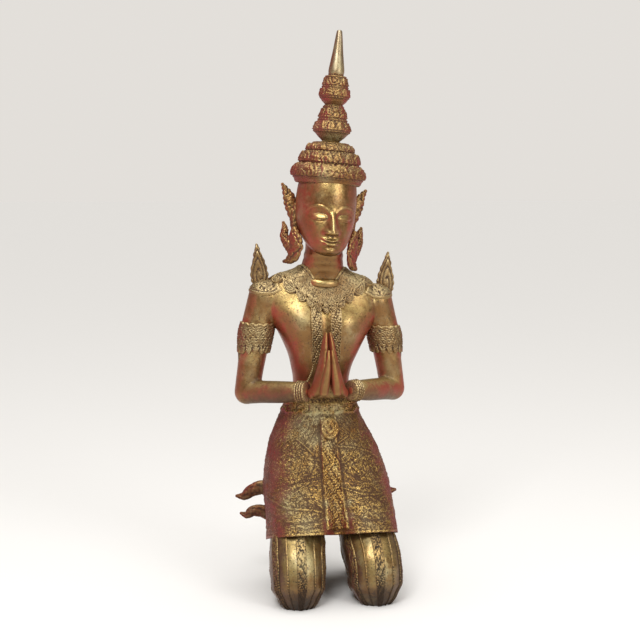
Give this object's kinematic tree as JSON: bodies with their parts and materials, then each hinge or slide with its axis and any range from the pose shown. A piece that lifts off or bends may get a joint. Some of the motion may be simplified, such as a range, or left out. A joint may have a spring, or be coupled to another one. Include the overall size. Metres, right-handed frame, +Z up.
{
  "type": "kneeling angel statue",
  "caption": "Gilded bronze kneeling angel with palms pressed together in prayer, a tall tiered pointed crown, jewelled collar and armbands, and a patterned skirt over folded legs.",
  "frame": {"origin": "centre of the statue's footprint, on the ground it stands on", "axes": "+Z up along the figure and its crown; the figure faces -Y, so its left hand side is +X"},
  "size_m": [0.1998, 0.1707, 0.6393],
  "materials": {
    "gilded_bronze": "worn gold leaf over red lacquer on cast bronze, darkened in the recesses, semi-gloss"
  },
  "bodies": {
    "root": {"thepphanom_statue": "gilded_bronze"}
  },
  "joints": []
}
